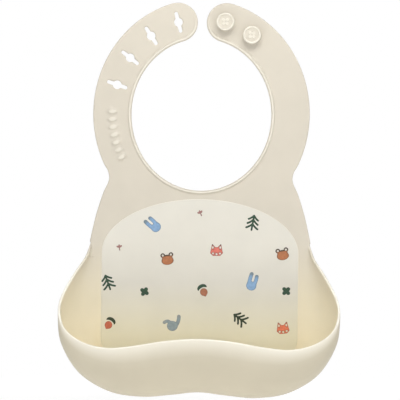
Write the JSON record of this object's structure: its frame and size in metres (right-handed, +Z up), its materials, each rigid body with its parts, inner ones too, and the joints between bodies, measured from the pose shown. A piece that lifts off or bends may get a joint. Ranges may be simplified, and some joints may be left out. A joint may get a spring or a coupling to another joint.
{
  "type": "silicone bib",
  "caption": "Soft silicone baby bib: flat chest sheet with a printed inlay, two neck straps that stud together behind the neck, and a wide open catch pocket below.",
  "frame": {"origin": "on the flat back face at mid-chest, where the bib lies against the wearer", "axes": "+Z up as worn, -Y the way the front faces, +X to the viewer's right"},
  "size_m": [0.2134, 0.0541, 0.3018],
  "materials": {
    "sheet": "satin moulded silicone, warm beige",
    "pocket": "satin moulded silicone, warm beige",
    "inlay": "smooth ivory silicone layer",
    "ink_blue": "matte silicone ink",
    "ink_grey_blue": "matte silicone ink",
    "ink_green": "matte silicone ink",
    "ink_deep_green": "matte silicone ink",
    "ink_brown": "matte silicone ink",
    "ink_coral": "matte silicone ink",
    "ink_orange": "matte silicone ink",
    "ink_nut": "matte silicone ink",
    "ink_red_nut": "matte silicone ink",
    "ink_pink": "matte silicone ink"
  },
  "bodies": {
    "chest_panel": {"lower_panel": "sheet", "lower_inlay": "inlay", "print_rabbit_middle": "ink_blue", "print_rabbit_lower": "ink_grey_blue", "print_blossom_lower": "ink_pink", "print_tree_left": "ink_green", "print_tree_lower": "ink_deep_green", "print_clover_left": "ink_green", "print_clover_right": "ink_green", "print_bear_left": "ink_brown", "print_bear_right": "ink_brown", "print_fox_upper": "ink_coral", "print_fox_lower": "ink_orange", "print_acorn_nut_middle": "ink_nut", "print_acorn_cap_middle": "ink_green", "print_acorn_nut_left": "ink_red_nut", "print_acorn_cap_left": "ink_deep_green"},
    "pocket": {"catch_pocket": "pocket"},
    "yoke": {"chest_yoke": "sheet", "fold_web": "sheet", "upper_inlay": "inlay", "print_rabbit_upper": "ink_blue", "print_blossom_upper": "ink_pink", "print_tree_upper": "ink_green"},
    "left_shoulder": {"left_shoulder": "sheet"},
    "left_strap": {"left_strap": "sheet"},
    "left_tip": {"left_tip": "sheet"},
    "right_shoulder": {"right_shoulder": "sheet"},
    "right_strap": {"right_strap": "sheet"},
    "right_tip": {"right_tip": "sheet", "upper_stud": "sheet", "lower_stud": "sheet"}
  },
  "joints": [
    {"name": "chest_fold", "type": "hinge", "parent": "chest_panel", "child": "yoke", "pos_m": [0, -0.001, 0.0165], "axis": [1, 0, 0], "range_deg": [-90, 120], "stiffness_Nm_per_rad": 0.4, "deforming": ["fold_web"]},
    {"name": "pocket_flex", "type": "hinge", "parent": "chest_panel", "child": "pocket", "pos_m": [0, -0.001, -0.0853], "axis": [1, 0, 0], "range_deg": [-20, 25], "stiffness_Nm_per_rad": 1},
    {"name": "left_shoulder_bend", "type": "hinge", "parent": "yoke", "child": "left_shoulder", "pos_m": [-0.0536, -0.001, 0.067], "axis": [-1, 0, 0], "range_deg": [-25, 50], "stiffness_Nm_per_rad": 0.12},
    {"name": "left_strap_bend", "type": "hinge", "parent": "left_shoulder", "child": "left_strap", "pos_m": [-0.06894, -0.001, 0.12516], "axis": [-0.9848, 0, 0.1736], "range_deg": [-25, 50], "stiffness_Nm_per_rad": 0.06},
    {"name": "left_tip_bend", "type": "hinge", "parent": "left_strap", "child": "left_tip", "pos_m": [-0.04684, -0.001, 0.16502], "axis": [-0.6691, 0, 0.7431], "range_deg": [-25, 50], "stiffness_Nm_per_rad": 0.04},
    {"name": "right_shoulder_bend", "type": "hinge", "parent": "yoke", "child": "right_shoulder", "pos_m": [0.0536, -0.001, 0.067], "axis": [-1, 0, 0], "range_deg": [-25, 50], "stiffness_Nm_per_rad": 0.12},
    {"name": "right_strap_bend", "type": "hinge", "parent": "right_shoulder", "child": "right_strap", "pos_m": [0.06894, -0.001, 0.12516], "axis": [-0.9848, 0, -0.1736], "range_deg": [-25, 50], "stiffness_Nm_per_rad": 0.06},
    {"name": "right_tip_bend", "type": "hinge", "parent": "right_strap", "child": "right_tip", "pos_m": [0.04684, -0.001, 0.16502], "axis": [-0.6691, 0, -0.7431], "range_deg": [-25, 50], "stiffness_Nm_per_rad": 0.04}
  ],
  "couplings": [
    {"joint": "left_strap_bend", "follows": "left_shoulder_bend", "ratio": 1},
    {"joint": "left_tip_bend", "follows": "left_shoulder_bend", "ratio": 1},
    {"joint": "right_strap_bend", "follows": "right_shoulder_bend", "ratio": 1},
    {"joint": "right_tip_bend", "follows": "right_shoulder_bend", "ratio": 1}
  ]
}
